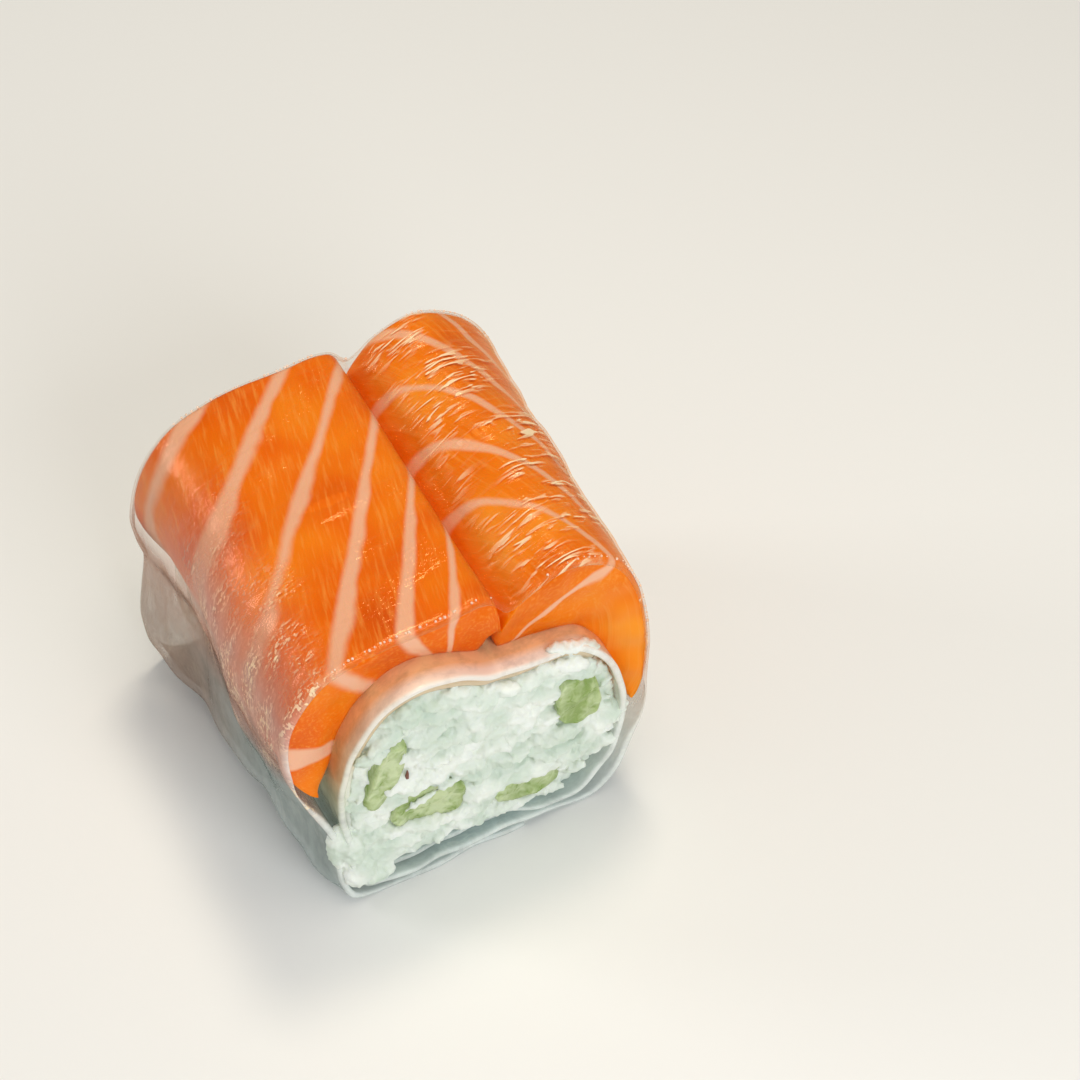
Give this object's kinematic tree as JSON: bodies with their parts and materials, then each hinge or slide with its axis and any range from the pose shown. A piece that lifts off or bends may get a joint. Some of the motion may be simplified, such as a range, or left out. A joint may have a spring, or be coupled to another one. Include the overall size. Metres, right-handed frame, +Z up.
{
  "type": "rice paper roll",
  "caption": "Cut length of a rice paper roll with raw salmon under the translucent wrapper, round a core of soft white cheese and cucumber sticks.",
  "frame": {"origin": "middle of the footprint, on the surface that the roll stands on", "axes": "+Z up; the roll lies along Y, with the cut end that shows best at -Y; +X is to the right of that end"},
  "size_m": [0.042, 0.0422, 0.0371],
  "materials": {
    "rice_paper": "wet translucent film",
    "salmon": "moist raw fish",
    "soft_cheese": "moist curds",
    "cucumber": "moist cut flesh"
  },
  "bodies": {
    "root": {"rice_paper": "rice_paper", "salmon_left": "salmon", "salmon_right": "salmon", "soft_cheese": "soft_cheese", "cucumber_upper_right": "cucumber", "cucumber_lower_left": "cucumber", "cucumber_lower_right": "cucumber", "cucumber_left": "cucumber"}
  },
  "joints": []
}
